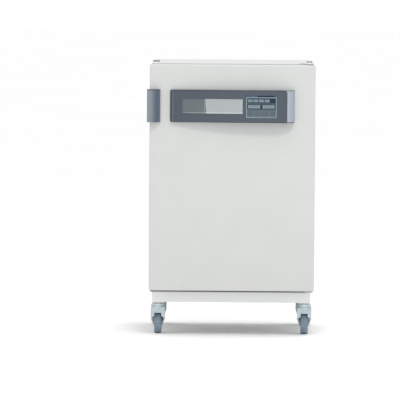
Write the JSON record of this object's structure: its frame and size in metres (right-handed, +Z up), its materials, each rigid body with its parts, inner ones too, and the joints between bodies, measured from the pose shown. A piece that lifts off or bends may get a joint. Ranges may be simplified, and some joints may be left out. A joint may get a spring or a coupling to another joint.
{
  "type": "carbon dioxide incubator",
  "caption": "Upright laboratory incubator on swivel casters, with a hinged outer door, an inner glass door and a stainless chamber with wire shelves.",
  "frame": {"origin": "on the floor under the middle of the incubator's bounding box", "axes": "+Z up, the door faces -Y, +X towards the door's hinges"},
  "size_m": [0.677, 0.8238, 1.0973],
  "materials": {
    "white_paint": "satin powder coat",
    "grey_paint": "satin powder coat",
    "stainless": "bright rolled sheet",
    "zinc_plated": "bright zinc plate",
    "foam": "rigid foam core",
    "silicone": "matt",
    "blue_silicone": "matt",
    "slate_plastic": "fine moulded grain",
    "silver_plastic": "metallic paint",
    "dark_plastic": "fine moulded grain",
    "window": "tinted, polished",
    "key_plastic": "printed membrane",
    "clear_glass": "clear float glass",
    "tyre_rubber": "matt",
    "hub_plastic": "moulded",
    "circuit_board": "solder mask"
  },
  "bodies": {
    "cabinet": {"outer_casing": "white_paint", "rear_cover": "white_paint", "floor_pan": "white_paint", "front_frame": "grey_paint", "chamber_liner": "stainless", "insulation_jacket": "foam", "chamber_seal": "silicone", "left_shelf_rack": "stainless", "right_shelf_rack": "stainless", "upper_shelf": "stainless", "middle_shelf": "stainless", "lower_shelf": "stainless", "water_tray": "stainless", "fan_motor": "zinc_plated", "fan_shroud": "stainless", "sensor_probe": "stainless", "port_sleeve": "stainless", "port_stopper": "blue_silicone", "gas_nozzle": "zinc_plated", "power_inlet": "dark_plastic", "upper_hinge": "white_paint", "lower_hinge": "white_paint", "latch_keeper": "zinc_plated", "upper_glass_hinge": "zinc_plated", "lower_glass_hinge": "zinc_plated", "base_frame": "white_paint"},
    "door": {"door_skin": "white_paint", "door_liner": "grey_paint", "door_insulation": "foam", "door_gasket": "silicone", "console_housing": "slate_plastic", "console_end_cap": "silver_plastic", "display_window": "window", "keypad_panel": "slate_plastic", "handle_mount": "zinc_plated", "upper_hinge_bush": "dark_plastic", "lower_hinge_bush": "dark_plastic", "control_board": "circuit_board"},
    "handle": {"door_handle": "slate_plastic"},
    "key_1_body": {"key_1": "key_plastic"},
    "key_2_body": {"key_2": "key_plastic"},
    "key_3_body": {"key_3": "key_plastic"},
    "key_4_body": {"key_4": "key_plastic"},
    "glass_door": {"glass_pane": "clear_glass", "glass_knob": "dark_plastic", "upper_glass_clip": "zinc_plated", "lower_glass_clip": "zinc_plated"},
    "fan": {"fan_wheel": "silver_plastic"},
    "front_left_caster": {"front_left_fork": "zinc_plated"},
    "front_left_wheel": {"front_left_hub": "hub_plastic", "front_left_tyre": "tyre_rubber"},
    "front_right_caster": {"front_right_fork": "zinc_plated"},
    "front_right_wheel": {"front_right_hub": "hub_plastic", "front_right_tyre": "tyre_rubber"},
    "rear_left_caster": {"rear_left_fork": "zinc_plated"},
    "rear_left_wheel": {"rear_left_hub": "hub_plastic", "rear_left_tyre": "tyre_rubber"},
    "rear_right_caster": {"rear_right_fork": "zinc_plated"},
    "rear_right_wheel": {"rear_right_hub": "hub_plastic", "rear_right_tyre": "tyre_rubber"}
  },
  "joints": [
    {"name": "door_hinge", "type": "hinge", "parent": "cabinet", "child": "door", "pos_m": [0.3175, -0.3341, 0.6365], "axis": [0, 0, 1], "range_deg": [0, 110]},
    {"name": "glass_door_hinge", "type": "hinge", "parent": "cabinet", "child": "glass_door", "pos_m": [0.2735, -0.3051, 0.62575], "axis": [0, 0, 1], "range_deg": [0, 105]},
    {"name": "handle_pivot", "type": "hinge", "parent": "door", "child": "handle", "pos_m": [-0.2907, -0.3681, 0.9255], "axis": [0, 0, 1], "range_deg": [0, 20], "stiffness_Nm_per_rad": 1.5},
    {"name": "key_1_press", "type": "slide", "parent": "door", "child": "key_1_body", "axis": [0, 1, 0], "range_m": [0, 0.001], "stiffness_N_per_m": 800},
    {"name": "key_2_press", "type": "slide", "parent": "door", "child": "key_2_body", "axis": [0, 1, 0], "range_m": [0, 0.001], "stiffness_N_per_m": 800},
    {"name": "key_3_press", "type": "slide", "parent": "door", "child": "key_3_body", "axis": [0, 1, 0], "range_m": [0, 0.001], "stiffness_N_per_m": 800},
    {"name": "key_4_press", "type": "slide", "parent": "door", "child": "key_4_body", "axis": [0, 1, 0], "range_m": [0, 0.001], "stiffness_N_per_m": 800},
    {"name": "fan_spin", "type": "hinge", "parent": "cabinet", "child": "fan", "pos_m": [0.0055, 0.0359, 0.975], "axis": [0, 0, 1], "continuous": true},
    {"name": "front_left_swivel", "type": "hinge", "parent": "cabinet", "child": "front_left_caster", "pos_m": [-0.2905, -0.2491, 0.1185], "axis": [0, 0, 1], "continuous": true},
    {"name": "front_left_roll", "type": "hinge", "parent": "front_left_caster", "child": "front_left_wheel", "pos_m": [-0.2905, -0.2191, 0.04976], "axis": [1, 0, 0], "continuous": true},
    {"name": "front_right_swivel", "type": "hinge", "parent": "cabinet", "child": "front_right_caster", "pos_m": [0.3015, -0.2491, 0.1185], "axis": [0, 0, 1], "continuous": true},
    {"name": "front_right_roll", "type": "hinge", "parent": "front_right_caster", "child": "front_right_wheel", "pos_m": [0.3015, -0.2191, 0.04976], "axis": [1, 0, 0], "continuous": true},
    {"name": "rear_left_swivel", "type": "hinge", "parent": "cabinet", "child": "rear_left_caster", "pos_m": [-0.2905, 0.3409, 0.1185], "axis": [0, 0, 1], "continuous": true},
    {"name": "rear_left_roll", "type": "hinge", "parent": "rear_left_caster", "child": "rear_left_wheel", "pos_m": [-0.2905, 0.3109, 0.04976], "axis": [1, 0, 0], "continuous": true},
    {"name": "rear_right_swivel", "type": "hinge", "parent": "cabinet", "child": "rear_right_caster", "pos_m": [0.3015, 0.3409, 0.1185], "axis": [0, 0, 1], "continuous": true},
    {"name": "rear_right_roll", "type": "hinge", "parent": "rear_right_caster", "child": "rear_right_wheel", "pos_m": [0.3015, 0.3109, 0.04976], "axis": [1, 0, 0], "continuous": true}
  ],
  "couplings": [
    {"joint": "glass_door_hinge", "follows": "door_hinge", "ratio": 0.9}
  ]
}
